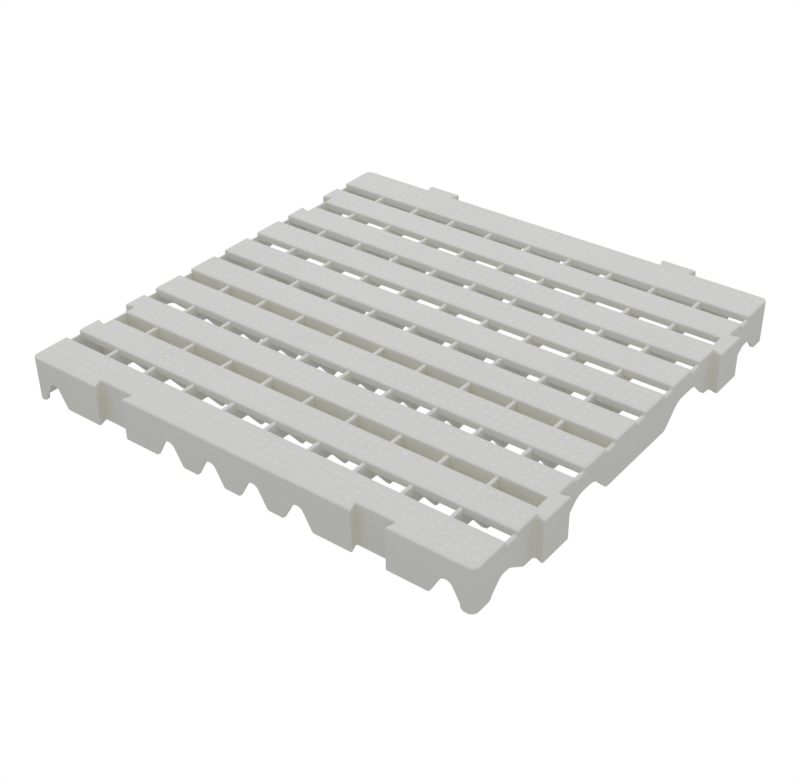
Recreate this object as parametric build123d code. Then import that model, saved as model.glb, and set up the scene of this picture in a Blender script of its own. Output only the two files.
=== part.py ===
from build123d import *
import os

os.makedirs("parts", exist_ok=True)

# Interlocking slatted floor panel for sheep and goat pens, in millimetres.
#
# Frame: +X runs along the slats, +Y across them from front to back, +Z up. The origin is the
# centre of the bottom of the bounding box, so the four corner feet stand on Z = 0.
# While it is built, the panel has its front left body corner at X = 0, Y = 0; put() moves each
# finished piece into the frame above.

# ---- panel ----
SIDE = 600.0                # body, without the interlock tabs
TREAD_Z = 55.0              # walking surface above the floor
WALL_Z = 3.0                # lower edge of the walls
WALL = 3.0                  # walls and skirts
END_T = 4.0                 # end walls and feet
CORNER_R = 8.0              # outer upright corners of the panel
EDGE_R = 2.4                # rounded tread edges
SMALL_R = 1.5               # other upright edges

# ---- slats, which are shallow upside-down trays ----
SLAT_COUNT = 10
SLAT_PITCH = 60.0
GAP = 18.4
EDGE_SLAT = 50.8            # width of the first and the last slat
TREAD_T = 3.0
TRAY_H = 9.5

# ---- anti-slip studs on the slats ----
STUD_PITCH = 11.5           # both ways, in a square grid centred on each slat
STUD_ROWS = 3
STUD_BASE = 6.4
STUD_TOP = 5.0
STUD_H = 0.4
STUD_MARGIN = 6.0           # least distance from a stud's middle to an edge

# ---- cross ribs ----
RIB_COUNT = 9
RIB_PITCH = 59.0
RIB_T = 5.0                 # at the top
RIB_TOE_T = 4.0             # at the toes, where it stands on the height of the walls
RIB_DROP = 2.8              # rib top below the tread, in the slots
RIB_LAP_DEPTH = 30.0        # half-lap with the deep walls, below the tread
RIB_EDGE_R = 2.0

# ---- scallops under the cross ribs, one between each pair of lengthwise walls ----
BAY_TOE = 1.0               # flat of a rib beside a wall
BAY_FLANK = 19.5            # sideways run of a full flank
BAY_DEPTH = 27.5            # crown below the tread
BAY_CROWN = 6.0             # least width of a crown
BAY_R = 8.0

# ---- deep lengthwise walls: Y of one face, side the wall lies on, width of its teeth ----
DEEP_WALLS = [
    (110.8, -1, 4.4),
    (129.2, 1, 4.4),
    (230.8, -1, 4.4),
    (249.2, 1, 4.4),
    (350.8, -1, 11.0),
    (470.8, -1, 11.0),
]
WALL_FLANK = 17.5           # sideways run of a tooth's flank

# ---- scallops under the skirts and deep walls ----
ARCH_BASE = 37.8            # in the skirts
ARCH_CROWN = 10.2
ARCH_DEPTH = 27.0           # crown below the tread
ARCH_R = 8.4
TOOTH_R = 3.8               # toes of the skirts
WALL_TOOTH_R = 1.6          # toes of the deep walls
SKIRT_ARCHES = [1, 4, 5, 6, 7, 10]

# ---- end walls ----
CREST_DROP = 4.6            # crest across a slot, below the tread
CREST_R = 3.4
# notches below: Y of foot, crown, crown and foot, crown below the tread, radius of the crown
END_NOTCHES = [
    ([27.0, 43.0, 57.0, 82.0], 36.0, 11.0),
    ([152.0, 177.5, 209.5, 235.0], 27.0, 25.0),
    ([358.0, 383.5, 422.5, 448.0], 27.0, 25.0),
    ([518.0, 543.0, 557.0, 573.0], 36.0, 11.0),
]
NOTCH_FOOT_R = 8.0

# ---- corner feet ----
FOOT_X = 15.5
FOOT_Y = 28.5
FOOT_R = 5.5

# ---- dovetail interlock ----
TAB_OUT = 12.0
TAB_NECK = 39.0
TAB_HEAD = 47.8
LOCK_CLEAR = 0.5
LOCK_X = [SIDE / 2 - 3 * RIB_PITCH, SIDE / 2 + 3 * RIB_PITCH]
LOCK_Y = [2 * SLAT_PITCH, SIDE - 2 * SLAT_PITCH]
TONGUE = 6.0                # solid end of the slot behind a right-hand tab
LAP = 2.0                   # how far the top of a back tab reaches into the last slat
COVE_R = 3.0                # cove where a tab leaves its wall

RIM_Z = TREAD_Z - TRAY_H
PLATE_Z = TREAD_Z - TREAD_T
RIB_TOP_Z = TREAD_Z - RIB_DROP
RIB_LAP_Z = TREAD_Z - RIB_LAP_DEPTH
BAY_CROWN_Z = TREAD_Z - BAY_DEPTH
RECESS_D = TAB_OUT + LOCK_CLEAR
RECESS_MOUTH = TAB_NECK + 2 * LOCK_CLEAR
FLARE = (TAB_HEAD - TAB_NECK) / 2 / TAB_OUT     # sideways run per unit of dovetail depth
LEAN = (1 + FLARE**2) ** 0.5
BOX_CENTRE = (SIDE + TAB_OUT) / 2


def put(node, shape):
    """Move one finished solid into the part's frame and write it as a node."""
    solid = Location((-BOX_CENTRE, -BOX_CENTRE, 0)) * shape.solid()
    solid.label = node
    export_step(solid, f"parts/{node}.step")


def rect(x0, x1, y0, y1):
    return Pos((x0 + x1) / 2, (y0 + y1) / 2) * Rectangle(x1 - x0, y1 - y0)


def block(x0, x1, y0, y1, z0, z1):
    return Pos(0, 0, z0) * extrude(rect(x0, x1, y0, y1), z1 - z0)


def upright(face, z0, z1):
    """Extrude a plan from z0 up to z1."""
    return Pos(0, 0, z0) * extrude(face, z1 - z0)


def round_at(face, points, radius):
    """Fillet the corners of a flat face nearest to the given points."""
    corners = [face.vertices().sort_by_distance((x, y, 0))[0] for x, y in points]
    return fillet(corners, radius)


def turn(points, side):
    """Plan points (out, along) of something on an X edge, swapped for a Y edge."""
    return [(a, b) if side == "x" else (b, a) for a, b in points]


def slat_span(i):
    """Y of the front and back edge of slat i, counted from 1."""
    if i == 1:
        return 0.0, EDGE_SLAT
    front = EDGE_SLAT + GAP + SLAT_PITCH * (i - 2)
    if i == SLAT_COUNT:
        return front, SIDE
    return front, front + SLAT_PITCH - GAP


def rib_x(k):
    """X of the middle of rib k, counted from 1."""
    return SIDE / 2 + RIB_PITCH * (k - (RIB_COUNT + 1) / 2)


def cell_x(c):
    """X of the middle of cell c, counted from 1; the end cells are a little longer."""
    left = 0.0 if c == 1 else rib_x(c - 1)
    right = SIDE if c > RIB_COUNT else rib_x(c)
    return (left + right) / 2


# ---------------------------------------------------------------- dovetail plans
def recess_plan(centre, side, grow=0.0):
    """Recess running in from the left or front edge, optionally grown by a wall thickness."""
    depth = RECESS_D + grow
    half = RECESS_MOUTH / 2 + grow * LEAN
    floor = half + FLARE * depth
    mouth = half - FLARE
    outline = [(-1, -mouth), (depth, -floor), (depth, floor), (-1, mouth)]
    shifted = turn([(a, centre + b) for a, b in outline], side)
    corners = turn([(depth, centre - floor), (depth, centre + floor)], side)
    return round_at(make_face(Polyline(shifted, close=True)), corners, SMALL_R + grow)


def mouth_points(centre, side):
    half = RECESS_MOUTH / 2
    return turn([(0, centre - half), (0, centre + half)], side)


# ---------------------------------------------------------------- slats
def slat_plan(i):
    front, back = slat_span(i)
    face = rect(0, SIDE, front, back)
    first, last = i == 1, i == SLAT_COUNT
    face = round_at(face, [(0, front), (SIDE, front)], CORNER_R if first else SMALL_R)
    return round_at(face, [(0, back), (SIDE, back)], CORNER_R if last else SMALL_R)


def stud_points(i):
    """Stud positions on slat i, leaving out those that a recess or a tab's top plate would cut."""
    front, back = slat_span(i)
    columns = int((SIDE - 2 * STUD_MARGIN) / STUD_PITCH) + 1
    points = []
    for n in range(columns):
        x = SIDE / 2 + STUD_PITCH * (n - (columns - 1) / 2)
        for row in range(STUD_ROWS):
            y = (front + back) / 2 + STUD_PITCH * (row - (STUD_ROWS - 1) / 2)
            reach = TAB_HEAD / 2 + STUD_MARGIN
            at_front = y < RECESS_D + STUD_MARGIN and min(abs(x - c) for c in LOCK_X) < reach
            at_lock = min(abs(y - c) for c in LOCK_Y) < reach
            at_end = x < RECESS_D + STUD_MARGIN or x > SIDE - 2 * TONGUE - STUD_MARGIN
            if not at_front and not (at_lock and at_end):
                points.append((x, y))
    return points


def studs(i):
    """Low flat-topped cones standing on slat i."""
    cone = Cone(STUD_BASE / 2, STUD_TOP / 2, STUD_H)
    return [Pos(x, y, TREAD_Z + STUD_H / 2) * cone for x, y in stud_points(i)]


def make_slat(i):
    front, back = slat_span(i)
    plan = slat_plan(i)
    pocket = rect(END_T, SIDE - END_T, front + WALL, back - WALL)
    deep = CORNER_R - WALL
    if i == 1:
        pocket = round_at(pocket, [(END_T, front + WALL), (SIDE - END_T, front + WALL)], deep)
    if i == SLAT_COUNT:
        pocket = round_at(pocket, [(END_T, back - WALL), (SIDE - END_T, back - WALL)], deep)
    if i == 1:
        for x in LOCK_X:
            plan -= recess_plan(x, "y")
            pocket -= recess_plan(x, "y", WALL)
            plan = round_at(plan, mouth_points(x, "y"), SMALL_R)
    for y in LOCK_Y:
        if front - GAP < y < back + GAP:
            plan -= recess_plan(y, "x")
            pocket -= recess_plan(y, "x", END_T)
            inside = [p for p in mouth_points(y, "x") if front < p[1] < back]
            plan = round_at(plan, inside, SMALL_R)
    tray = upright(plan, RIM_Z, TREAD_Z)
    tray = fillet(tray.faces().sort_by(Axis.Z)[-1].edges(), EDGE_R)
    tray -= upright(pocket, RIM_Z, PLATE_Z)
    if i == SLAT_COUNT:
        for x in LOCK_X:
            half = TAB_NECK / 2
            tray -= block(x - half, x + half, SIDE - LAP, SIDE, PLATE_Z, TREAD_Z)
    for y in LOCK_Y:
        if front - GAP < y < back + GAP:
            tray -= upright(tongue_plan(y), PLATE_Z, TREAD_Z)
    return tray + studs(i)


def tongue_plan(y):
    """Plate behind a right-hand tab that laps onto both slats and closes the slot between them."""
    half = TAB_NECK / 2
    lap = 2 * TONGUE
    plate = rect(SIDE - lap, SIDE, y - half, y + half)
    return plate - rect(SIDE - lap, SIDE - TONGUE, y - GAP / 2, y + GAP / 2)


for i in range(1, SLAT_COUNT + 1):
    put(f"slat_{i:02d}", make_slat(i))


# ---------------------------------------------------------------- cross ribs
def rib_half(z):
    """Half of the rib's thickness at height z; the rib is thinner towards its toes."""
    share = (z - WALL_Z) / (RIB_TOP_Z - WALL_Z)
    return (RIB_TOE_T + (RIB_T - RIB_TOE_T) * share) / 2


def rib_section(z0, z1):
    """(X, Z) section of a rib standing at X = 0, between two heights."""
    low, high = rib_half(z0), rib_half(z1)
    return make_face(Polyline((-low, z0), (low, z0), (high, z1), (-high, z1), close=True))


def rib_upper_side(start):
    """(Y, Z) top line: up inside every tray, notched for each rim, nearly level with the slots."""
    line = []
    for i in range(1, SLAT_COUNT + 1):
        front, back = slat_span(i)
        if i > 1:
            line += [(front, RIB_TOP_Z), (front, RIM_Z), (front + WALL, RIM_Z)]
        line += [(max(front + WALL, start), PLATE_Z), (back - WALL, PLATE_Z)]
        if i < SLAT_COUNT:
            line += [(back - WALL, RIM_Z), (back, RIM_Z), (back, RIB_TOP_Z)]
    return line


def wall_span(n):
    """Y of the front and back face of deep wall n, counted from 0."""
    face_y, side, tooth = DEEP_WALLS[n]
    return sorted((face_y, face_y + side * WALL))


def rib_bays(start):
    """(Y of one wall, Y of the next) for every stretch of rib between lengthwise walls."""
    fronts = [start] + [wall_span(n)[1] for n in range(len(DEEP_WALLS))]
    backs = [wall_span(n)[0] for n in range(len(DEEP_WALLS))] + [SIDE - WALL]
    return list(zip(fronts, backs))


def bay_cutter(y0, y1):
    """(Y, Z) scallop under one bay; a narrow bay gets a lower crown."""
    flank = min(BAY_FLANK, (y1 - y0 - BAY_CROWN) / 2 - BAY_TOE)
    crown_z = WALL_Z + (BAY_CROWN_Z - WALL_Z) * flank / BAY_FLANK
    foot0, foot1 = y0 + BAY_TOE, y1 - BAY_TOE
    crowns = [(foot0 + flank, crown_z), (foot1 - flank, crown_z)]
    drop = BAY_TOE * (crown_z - WALL_Z) / flank
    low = [(foot1 + BAY_TOE, WALL_Z - drop), (foot0 - BAY_TOE, WALL_Z - drop)]
    face = make_face(Polyline(crowns + low, close=True))
    return round_at(face, crowns, BAY_R if flank == BAY_FLANK else SMALL_R)


def make_rib(k):
    behind_recess = min(abs(rib_x(k) - x) for x in LOCK_X) < GAP
    start = RECESS_D + WALL if behind_recess else WALL
    outline = [(start, WALL_Z)] + rib_upper_side(start) + [(SIDE - WALL, WALL_Z)]
    face = make_face(Polyline(outline, close=True))
    for y0, y1 in rib_bays(start):
        face -= bay_cutter(y0, y1)
    for n in range(len(DEEP_WALLS)):
        y0, y1 = wall_span(n)
        face -= rect(y0, y1, 0, RIB_LAP_Z)
    rib = Pos(-RIB_T, 0, 0) * extrude(Plane.YZ * face, 2 * RIB_T, dir=(1, 0, 0))
    rib &= along_x(rib_section(WALL_Z, RIB_TOP_Z), 0, SIDE)
    crests = rib.edges().filter_by(Axis.Y).filter_by_position(Axis.Z, RIB_TOP_Z, RIB_TOP_Z)
    return Pos(rib_x(k), 0, 0) * fillet(crests, RIB_EDGE_R)


def along_x(face, y0, y1):
    """Extrude an (X, Z) face from y0 to y1."""
    return Pos(0, y1, 0) * extrude(Plane.XZ * face, y1 - y0)


for k in range(1, RIB_COUNT + 1):
    put(f"cross_rib_{k}", make_rib(k))


# ---------------------------------------------------------------- deep walls and skirts
def cutout(low, feet, crowns, crown_z, crown_r, foot_r):
    """Rounded opening cut up into a lower edge at height `low`, drawn with Z as its second axis."""
    reach = 1.3 * foot_r
    outer = [(feet[0] - reach, low - reach), (feet[0] - reach, low), (feet[0], low)]
    inner = [(crowns[0], crown_z), (crowns[1], crown_z)]
    end = [(feet[1], low), (feet[1] + reach, low), (feet[1] + reach, low - reach)]
    face = make_face(Polyline(outer + inner + end, close=True))
    face = round_at(face, inner, crown_r)
    return round_at(face, [(feet[0], low), (feet[1], low)], foot_r)


def arch(c, base, crown, toe_r):
    x = cell_x(c)
    feet = (x - base / 2, x + base / 2)
    crowns = (x - crown / 2, x + crown / 2)
    return cutout(WALL_Z, feet, crowns, TREAD_Z - ARCH_DEPTH, ARCH_R, toe_r)


def make_deep_wall(n):
    """Deep wall with an arch in each cell; the end arches run out level into the end walls."""
    y0, y1 = wall_span(n)
    face_y, side, tooth = DEEP_WALLS[n]
    at_recess = min(abs(face_y - y) for y in LOCK_Y) < GAP
    x0 = RECESS_D + END_T if at_recess else END_T
    face = rect(x0, SIDE - END_T, WALL_Z, RIM_Z)
    base = RIB_PITCH - tooth
    for c in range(1, RIB_COUNT + 2):
        face -= arch(c, base, base - 2 * WALL_FLANK, WALL_TOOTH_R)
    for x0, x1 in ((0, cell_x(1)), (cell_x(RIB_COUNT + 1), SIDE)):
        face -= rect(x0, x1, 0, TREAD_Z - ARCH_DEPTH)
    for k in range(1, RIB_COUNT + 1):
        face -= Pos(rib_x(k), 0) * rib_section(RIB_LAP_Z, RIM_Z)
    return along_x(face, y0, y1)


for n in range(len(DEEP_WALLS)):
    put(f"deep_wall_{n + 1}", make_deep_wall(n))


def skirt_arches(y0, y1):
    return [along_x(arch(c, ARCH_BASE, ARCH_CROWN, TOOTH_R), y0, y1) for c in SKIRT_ARCHES]


def front_skirt():
    """Front skirt with the walls of both recesses."""
    plan = rect(FOOT_X, SIDE - FOOT_X, 0, WALL)
    for x in LOCK_X:
        plan += recess_plan(x, "y", WALL) & rect(0, SIDE, 0, SIDE)
        plan -= recess_plan(x, "y")
        plan = round_at(plan, mouth_points(x, "y"), SMALL_R)
    return upright(plan, WALL_Z, RIM_Z) - skirt_arches(0, WALL)


def back_skirt():
    skirt = block(FOOT_X, SIDE - FOOT_X, SIDE - WALL, SIDE, WALL_Z, RIM_Z)
    return skirt - skirt_arches(SIDE - WALL, SIDE)


put("front_skirt", front_skirt())
put("back_skirt", back_skirt())


# ---------------------------------------------------------------- end walls
def end_notches(x0, x1):
    """Cutters for the four notches in the lower edge of an end wall."""
    cutters = []
    for (f0, c0, c1, f1), depth, radius in END_NOTCHES:
        face = cutout(WALL_Z, (f0, f1), (c0, c1), TREAD_Z - depth, radius, NOTCH_FOOT_R)
        cutters.append(Pos(x0, 0, 0) * extrude(Plane.YZ * face, x1 - x0))
    return cutters


def crest(x0, x1, outer_x, y0, y1, top_z, radius):
    """Low wall that closes the end of a slot, with its outer top edge rounded."""
    wall = block(x0, x1, y0, y1, RIM_Z, top_z)
    edge = wall.edges().filter_by(Axis.Y).sort_by_distance((outer_x, (y0 + y1) / 2, top_z))[0]
    return fillet(edge, radius)


def open_slots():
    """(y0, y1) of the slots that do not end at a tab or a recess."""
    spans = [(slat_span(i)[1], slat_span(i + 1)[0]) for i in range(1, SLAT_COUNT)]
    return [s for s in spans if min(abs(sum(s) / 2 - y) for y in LOCK_Y) > GAP]


def make_end_wall(x0, x1, outer_x):
    wall = block(x0, x1, FOOT_Y, SIDE - FOOT_Y, WALL_Z, RIM_Z)
    wall -= end_notches(x0, x1)
    for y0, y1 in open_slots():
        wall += crest(x0, x1, outer_x, y0, y1, TREAD_Z - CREST_DROP, CREST_R)
    return wall


left_wall = make_end_wall(0, END_T, 0)
for y in LOCK_Y:
    liner = recess_plan(y, "x", END_T) & rect(0, SIDE, 0, SIDE)
    left_wall += upright(liner, WALL_Z, RIM_Z)
    left_wall -= upright(recess_plan(y, "x"), WALL_Z, RIM_Z)
    floor_x = RECESS_D + END_T
    left_wall += crest(RECESS_D, floor_x, RECESS_D, y - GAP / 2, y + GAP / 2, TREAD_Z, EDGE_R)
put("end_wall_left", left_wall)

right_wall = make_end_wall(SIDE - END_T, SIDE, SIDE)
for y in LOCK_Y:
    right_wall += block(SIDE - END_T, SIDE, y - GAP / 2, y + GAP / 2, RIM_Z, PLATE_Z)
put("end_wall_right", right_wall)


# ---------------------------------------------------------------- corner feet
def make_foot():
    """L-shaped foot of the front left corner, its two lower end corners rounded."""
    plan = round_at(rect(0, FOOT_X, 0, FOOT_Y), [(0, 0)], CORNER_R)
    hollow = round_at(rect(END_T, SIDE, END_T, SIDE), [(END_T, END_T)], CORNER_R - END_T)
    foot = upright(plan - hollow, 0, RIM_Z)
    soles = foot.edges().filter_by_position(Axis.Z, 0, 0)
    ends = [soles.sort_by(Axis.X)[-1], soles.sort_by(Axis.Y)[-1]]
    return fillet(ends, FOOT_R)


foot = make_foot()
foot_right = mirror(foot, Plane.YZ.offset(SIDE / 2))
put("foot_front_left", foot)
put("foot_front_right", foot_right)
put("foot_back_left", mirror(foot, Plane.XZ.offset(-SIDE / 2)))
put("foot_back_right", mirror(foot_right, Plane.XZ.offset(-SIDE / 2)))


# ---------------------------------------------------------------- dovetail tabs
def tab_plan(centre, side, inset, root, out):
    """Dovetail from `root` to `out` beyond the body, all faces moved in by `inset`."""
    near = TAB_NECK / 2 + FLARE * root - inset * LEAN
    far = TAB_NECK / 2 + FLARE * out - inset * LEAN
    outline = [(SIDE + root, -near), (SIDE + out, -far), (SIDE + out, far), (SIDE + root, near)]
    return make_face(Polyline(turn([(a, centre + b) for a, b in outline], side), close=True))


def head_points(centre, side):
    half = TAB_HEAD / 2
    return turn([(SIDE + TAB_OUT, centre - half), (SIDE + TAB_OUT, centre + half)], side)


def coves(centre, side):
    """Coves in the two corners between a tab and the wall it stands on."""
    half = TAB_NECK / 2
    wide = half + 3 * COVE_R
    strip = turn([(SIDE - COVE_R, centre - wide), (SIDE, centre + wide)], side)
    (a0, b0), (a1, b1) = strip
    face = tab_plan(centre, side, 0, -COVE_R, TAB_OUT) + rect(a0, a1, b0, b1)
    face = round_at(face, turn([(SIDE, centre - half), (SIDE, centre + half)], side), COVE_R)
    return face - rect(a0, a1, b0, b1) - tab_plan(centre, side, 0, -COVE_R, TAB_OUT)


def make_tab(centre, side):
    plan = round_at(tab_plan(centre, side, 0, 0, TAB_OUT), head_points(centre, side), SMALL_R)
    if side == "x":
        plan += tongue_plan(centre)
    else:
        plan += rect(centre - TAB_NECK / 2, centre + TAB_NECK / 2, SIDE - LAP, SIDE)
    plate = upright(plan, PLATE_Z, TREAD_Z)
    reach = SIDE - 2 * TONGUE if side == "x" else SIDE - LAP
    edges = []
    for edge in plate.faces().sort_by(Axis.Z)[-1].edges():
        spot = edge.center()
        out = spot.X if side == "x" else spot.Y
        beside = abs(abs((spot.Y if side == "x" else spot.X) - centre) - TAB_NECK / 2) < 0.01
        if out > reach + 0.01 and not (beside and out < SIDE):
            edges.append(edge)
    plate = fillet(edges, EDGE_R)
    body = upright(round_at(tab_plan(centre, side, 0, 0, TAB_OUT), head_points(centre, side), SMALL_R),
                   WALL_Z, PLATE_Z)
    body -= upright(tab_plan(centre, side, WALL, WALL, TAB_OUT - WALL), WALL_Z, PLATE_Z)
    body += upright(coves(centre, side), WALL_Z, TREAD_Z - EDGE_R)
    return body + plate


for n, y in enumerate(LOCK_Y, 1):
    put(f"tab_right_{n}", make_tab(y, "x"))
for n, x in enumerate(LOCK_X, 1):
    put(f"tab_back_{n}", make_tab(x, "y"))
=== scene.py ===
import math

import bpy
import bmesh
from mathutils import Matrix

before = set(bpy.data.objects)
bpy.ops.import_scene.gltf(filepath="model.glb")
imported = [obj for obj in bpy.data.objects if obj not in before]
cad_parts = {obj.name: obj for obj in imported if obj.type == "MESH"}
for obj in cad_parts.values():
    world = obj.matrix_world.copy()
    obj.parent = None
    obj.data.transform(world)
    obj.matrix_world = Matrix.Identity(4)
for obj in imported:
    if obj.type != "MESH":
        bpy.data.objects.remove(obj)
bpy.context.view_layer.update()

# ---- looks ----
LIT = (0.800, 0.798, 0.772)         # bare moulded plastic
WARM_SHADE_TINT = (0.890, 0.868, 0.745)       # painted shade: warmer tone where light is trapped in crevices
LOW_SHADE = (0.775, 0.765, 0.720)         # painted shade, darker towards the lower edges
GREY = (0.765, 0.770, 0.752)        # faint clouding in the moulding
WORN_AND_STUD_HIGHLIGHT = (0.850, 0.852, 0.832)        # polished edges (wear) and a painted highlight on stud tops
SCUFF = (0.700, 0.700, 0.680)       # specks and scratches
SHADE_REACH = 0.024                     # reach of the painted crevice shade
FOOT_Z = 0.008                      # the painted shade towards the bottom is strongest here
TREAD_Z = 0.055
STUD_H = 0.0004
IOR = 1.49
SPECULAR = 0.35
BUMP = 0.45
BUMP_DEPTH = 0.0006
SCRATCH_TURN = 24.0                 # degrees
SCRATCH_STRETCH = (1.0, 7.0, 1.0)

# ---- floor ----
FLOOR_REACH = 8.0
PAPER = (1.0, 1.0, 1.0)

# ---- light ----
SKY = 0.605                         # strength from above the horizon
GROUND = 0.47                       # strength from below it
HORIZON = 0.15                      # half height of the blend between the two
SKY_TINT = (0.985, 0.995, 1.0)
KEY_POWER = 11.0
KEY_SIZE = 2.0
KEY_AT = (-0.5, 0.7, 2.2)

# ---- camera ----
LENS = 62.14
SENSOR = 36.0
CAMERA_AT = (0.8145, -1.0786, 0.8715)
CAMERA_TURN = (56.124, 0.606, 37.533)


class Nodes:
    """Short helper for building a node tree."""

    def __init__(self, tree):
        self.tree = tree

    def add(self, kind, **values):
        node = self.tree.nodes.new("ShaderNode" + kind)
        for key, value in values.items():
            setattr(node, key, value)
        return node

    def link(self, a, b):
        self.tree.links.new(a, b)

    def math(self, op, a, b=None, clamp=False):
        node = self.add("Math", operation=op, use_clamp=clamp)
        for socket, value in zip(node.inputs, (a, b)):
            if value is None:
                continue
            if isinstance(value, (int, float)):
                socket.default_value = value
            else:
                self.link(value, socket)
        return node.outputs[0]

    def noise(self, where, scale, detail=3.0, rough=0.5):
        node = self.add("TexNoise")
        node.inputs["Scale"].default_value = scale
        node.inputs["Detail"].default_value = detail
        node.inputs["Roughness"].default_value = rough
        self.link(where, node.inputs["Vector"])
        return node.outputs["Fac"]

    def span(self, value, low, high, out_low=0.0, out_high=1.0, smooth=True):
        node = self.add("MapRange", interpolation_type="SMOOTHSTEP" if smooth else "LINEAR")
        ends = {"From Min": low, "From Max": high, "To Min": out_low, "To Max": out_high}
        for socket, number in ends.items():
            node.inputs[socket].default_value = number
        self.link(value, node.inputs["Value"])
        return node.outputs["Result"]

    def mix(self, factor, a, b):
        node = self.add("Mix", data_type="RGBA")
        for socket, value in ((node.inputs[6], a), (node.inputs[7], b)):
            if isinstance(value, tuple):
                socket.default_value = value + (1.0,)
            else:
                self.link(value, socket)
        self.link(factor, node.inputs[0])
        return node.outputs[2]


def plastic(name, tread):
    """Off-white moulded plastic; a tread has a finer, more scuffed grain on top."""
    material = bpy.data.materials.new(name)
    material.use_nodes = True
    n = Nodes(material.node_tree)
    shader = material.node_tree.nodes["Principled BSDF"]
    geometry = n.add("NewGeometry")
    where = geometry.outputs["Position"]
    normal = n.add("SeparateXYZ")
    n.link(geometry.outputs["Normal"], normal.inputs[0])
    up = normal.outputs["Z"]
    place = n.add("SeparateXYZ")
    n.link(where, place.inputs[0])
    height_up = place.outputs["Z"]

    clouds = n.span(n.noise(where, 9.0, 4.0, 0.6), 0.38, 0.66)
    specks = n.span(n.noise(where, 260.0, 2.0, 0.5), 0.60, 0.78)
    colour = n.mix(n.math("MULTIPLY", clouds, 0.55), LIT, GREY)
    colour = n.mix(n.math("MULTIPLY", specks, 0.20), colour, SCUFF)
    # painted shade: colour darkened towards the bottom of the panel
    colour = n.mix(n.span(height_up, FOOT_Z, TREAD_Z, 0.9, 0.0, False), colour, LOW_SHADE)

    # painted shade: crevices found by ambient occlusion are tinted warm, as trapped light would
    # tint them
    occlusion = n.add("AmbientOcclusion", samples=8)
    occlusion.inputs["Distance"].default_value = SHADE_REACH
    shade = n.span(occlusion.outputs["AO"], 0.25, 0.95, 1.0, 0.0)
    colour = n.mix(n.math("MULTIPLY", shade, 0.75), colour, WARM_SHADE_TINT)

    rim = n.math("MULTIPLY", n.span(up, 0.12, 0.45), n.span(up, 0.86, 0.99, 1.0, 0.0))
    rubbed = n.math("MULTIPLY", rim, n.span(n.noise(where, 60.0, 3.0, 0.6), 0.30, 0.62, 0.35, 1.0))
    colour = n.mix(rubbed, colour, WORN_AND_STUD_HIGHLIGHT)

    grain = n.noise(where, 900.0, 2.0, 0.5)
    skin = n.noise(where, 130.0, 3.0, 0.5)
    sink = n.noise(where, 14.0, 2.0, 0.5)
    roughness = n.math("ADD", n.span(skin, 0.3, 0.7, 0.42, 0.54), n.math("MULTIPLY", specks, 0.10))
    if tread:
        on_top = n.span(up, 0.90, 0.99)
        scratches = n.add("Mapping")
        scratches.inputs["Scale"].default_value = SCRATCH_STRETCH
        scratches.inputs["Rotation"].default_value = (0.0, 0.0, math.radians(SCRATCH_TURN))
        n.link(where, scratches.inputs["Vector"])
        lines = n.span(n.noise(scratches.outputs[0], 75.0, 5.0, 0.65), 0.62, 0.72)
        lines = n.math("MULTIPLY", lines, on_top)
        colour = n.mix(n.math("MULTIPLY", lines, 0.30), colour, SCUFF)
        roughness = n.math("ADD", roughness, n.math("MULTIPLY", on_top, 0.08))
        # painted highlight: stud tops lightened
        stud_highlight = n.span(height_up, TREAD_Z + 0.2 * STUD_H, TREAD_Z + 0.9 * STUD_H)
        colour = n.mix(n.math("MULTIPLY", stud_highlight, 0.6), colour, WORN_AND_STUD_HIGHLIGHT)
    n.link(colour, shader.inputs["Base Color"])
    n.link(roughness, shader.inputs["Roughness"])
    shader.inputs["IOR"].default_value = IOR
    shader.inputs["Specular IOR Level"].default_value = SPECULAR

    height = n.math("MULTIPLY", sink, 0.35)
    height = n.math("ADD", height, n.math("MULTIPLY", skin, 0.10))
    height = n.math("ADD", height, n.math("MULTIPLY", grain, 0.035))
    bump = n.add("Bump")
    bump.inputs["Strength"].default_value = BUMP
    bump.inputs["Distance"].default_value = BUMP_DEPTH
    n.link(height, bump.inputs["Height"])
    n.link(bump.outputs[0], shader.inputs["Normal"])
    return material


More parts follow.
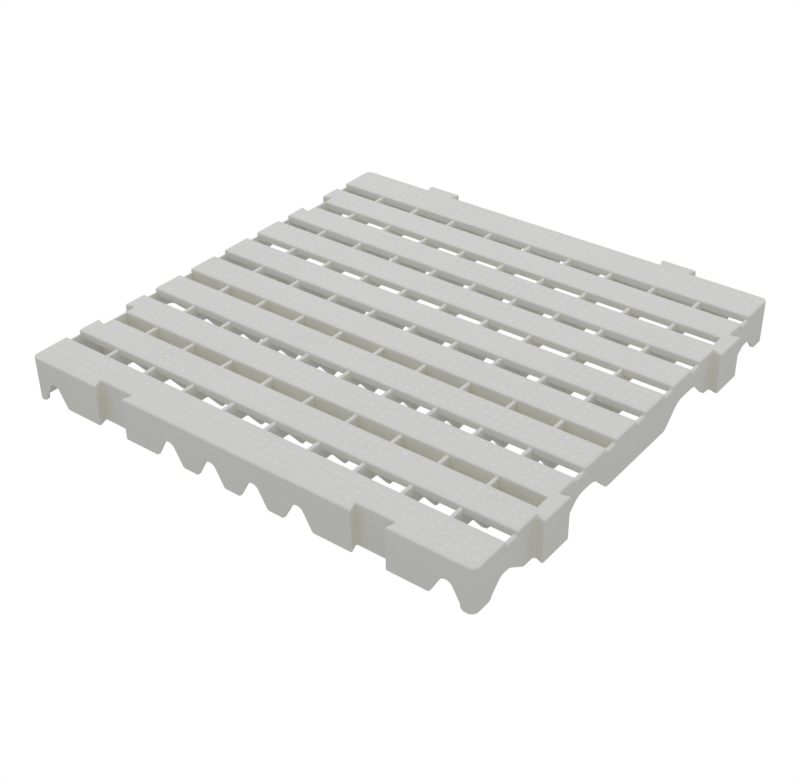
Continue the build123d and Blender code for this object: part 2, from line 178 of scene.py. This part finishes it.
def emitter(name, colour):
    """Plain glowing surface."""
    material = bpy.data.materials.new(name)
    material.use_nodes = True
    tree = material.node_tree
    tree.nodes.remove(tree.nodes["Principled BSDF"])
    glow = tree.nodes.new("ShaderNodeEmission")
    glow.inputs["Color"].default_value = colour + (1.0,)
    tree.links.new(glow.outputs[0], tree.nodes["Material Output"].inputs["Surface"])
    return material


# ---- the moulded panel ----
body = plastic("plastic_body", False)
tread = plastic("plastic_tread", True)
for name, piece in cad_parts.items():
    wanted = tread if name.startswith("slat") else body
    piece.data.materials.clear()
    piece.data.materials.append(wanted)

# ---- floor ----
mesh = bpy.data.meshes.new("floor")
maker = bmesh.new()
bmesh.ops.create_grid(maker, x_segments=1, y_segments=1, size=FLOOR_REACH)
maker.to_mesh(mesh)
maker.free()
floor = bpy.data.objects.new("floor", mesh)
bpy.context.scene.collection.objects.link(floor)
mesh.materials.append(emitter("floor_paper", PAPER))
floor.visible_diffuse = False
floor.visible_glossy = False
floor.visible_shadow = False

# ---- light ----
world = bpy.data.worlds.new("studio")
bpy.context.scene.world = world
world.use_nodes = True
n = Nodes(world.node_tree)
background = world.node_tree.nodes["Background"]
coordinate = n.add("TexCoord")
split = n.add("SeparateXYZ")
n.link(coordinate.outputs["Generated"], split.inputs[0])
dome = n.span(split.outputs["Z"], -HORIZON, HORIZON, GROUND, SKY)
n.link(dome, background.inputs["Strength"])
background.inputs["Color"].default_value = SKY_TINT + (1.0,)

lamp = bpy.data.lights.new("key", "AREA")
lamp.shape = "DISK"
lamp.size = KEY_SIZE
lamp.energy = KEY_POWER
key = bpy.data.objects.new("key", lamp)
bpy.context.scene.collection.objects.link(key)
key.location = KEY_AT
aim = -key.location
key.rotation_euler = aim.to_track_quat("-Z", "Y").to_euler()

# ---- camera ----
lens = bpy.data.cameras.new("camera")
lens.lens = LENS
lens.sensor_width = SENSOR
camera = bpy.data.objects.new("camera", lens)
bpy.context.scene.collection.objects.link(camera)
camera.location = CAMERA_AT
camera.rotation_euler = [math.radians(a) for a in CAMERA_TURN]
bpy.context.scene.camera = camera
bpy.context.scene.view_settings.view_transform = "Standard"
bpy.context.scene.view_settings.look = "None"
